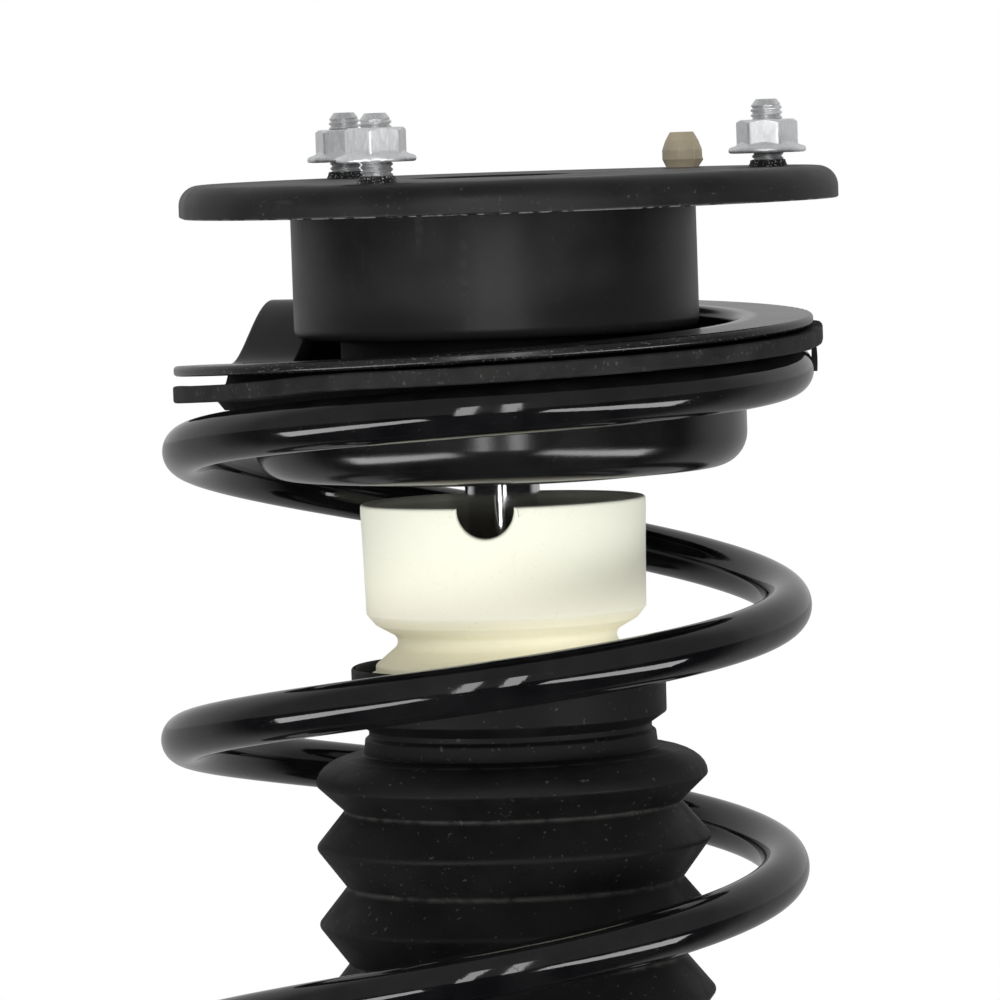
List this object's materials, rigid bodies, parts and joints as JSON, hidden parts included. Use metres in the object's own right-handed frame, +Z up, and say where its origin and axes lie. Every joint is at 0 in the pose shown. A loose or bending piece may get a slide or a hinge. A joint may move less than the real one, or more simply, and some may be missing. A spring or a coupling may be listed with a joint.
{
  "type": "suspension strut",
  "caption": "Complete front suspension strut: top mount plate with studs, upright coil spring, cream bump stop, pleated dust boot, damper tube and knuckle clevis.",
  "frame": {"origin": "centre of the mount plate's top face, on the strut's axis", "axes": "+Z up along the strut's axis, out of the mount plate; -X outboard, where the knuckle clevis opens"},
  "size_m": [0.2164, 0.2, 0.6438],
  "materials": {
    "black_plate": "satin black stoving paint",
    "gloss_black": "gloss black powder coat",
    "zinc": "bright zinc plate",
    "stud_steel": "zinc plated thread",
    "pin_plastic": "tan moulded nylon",
    "black_rubber": "matt black rubber",
    "boot_rubber": "matt black rubber",
    "cream_foam": "cream polyurethane",
    "chrome_rod": "ground and chromed",
    "bearing_steel": "hardened steel",
    "cage_plastic": "natural nylon",
    "plain_steel": "plain steel",
    "sinter": "sintered iron",
    "band_plastic": "filled plastic",
    "tube_paint": "gloss black paint"
  },
  "bodies": {
    "top_mount": {"mount_plate": "black_plate", "mount_studs": "stud_steel", "flange_nuts": "zinc", "locating_pin": "pin_plastic", "mount_can": "black_plate", "mount_rubber": "black_rubber", "mount_sleeve": "plain_steel", "rod_washer": "zinc", "rod_nut": "zinc", "bearing_upper_race": "bearing_steel", "piston_rod": "chrome_rod", "rebound_stop": "plain_steel", "valve_shims": "plain_steel", "piston": "sinter", "piston_band": "band_plastic", "piston_nut": "plain_steel"},
    "ball_cage": {"bearing_cage": "cage_plastic", "bearing_balls": "bearing_steel"},
    "upper_seat": {"bearing_lower_race": "bearing_steel", "upper_spring_seat": "black_plate", "upper_isolator": "black_rubber", "coil_spring": "gloss_black", "bump_stop": "cream_foam", "dust_boot": "boot_rubber"},
    "damper_tube": {"strut_tube": "tube_paint", "striker_cap": "plain_steel", "oil_seal": "black_rubber", "rod_guide": "sinter", "guide_bush": "bearing_steel", "pressure_tube": "plain_steel", "base_valve": "sinter", "tube_end_cap": "tube_paint", "lower_spring_seat": "tube_paint", "lower_isolator": "black_rubber", "knuckle_bracket": "tube_paint", "link_bracket": "tube_paint", "hose_bracket": "tube_paint"}
  },
  "joints": [
    {"name": "steer_swivel", "type": "hinge", "parent": "top_mount", "child": "upper_seat", "pos_m": [0, 0, -0.079], "axis": [0, 0, 1], "range_deg": [-40, 40]},
    {"name": "cage_roll", "type": "hinge", "parent": "top_mount", "child": "ball_cage", "pos_m": [0, 0, -0.079], "axis": [0, 0, 1], "range_deg": [-20, 20]},
    {"name": "strut_compress", "type": "slide", "parent": "upper_seat", "child": "damper_tube", "axis": [0, 0, 1], "range_m": [0, 0.15], "stiffness_N_per_m": 23300, "springref_m": -0.045, "deforming": ["coil_spring", "dust_boot", "bump_stop"]}
  ],
  "couplings": [
    {"joint": "cage_roll", "follows": "steer_swivel", "ratio": 0.5}
  ]
}
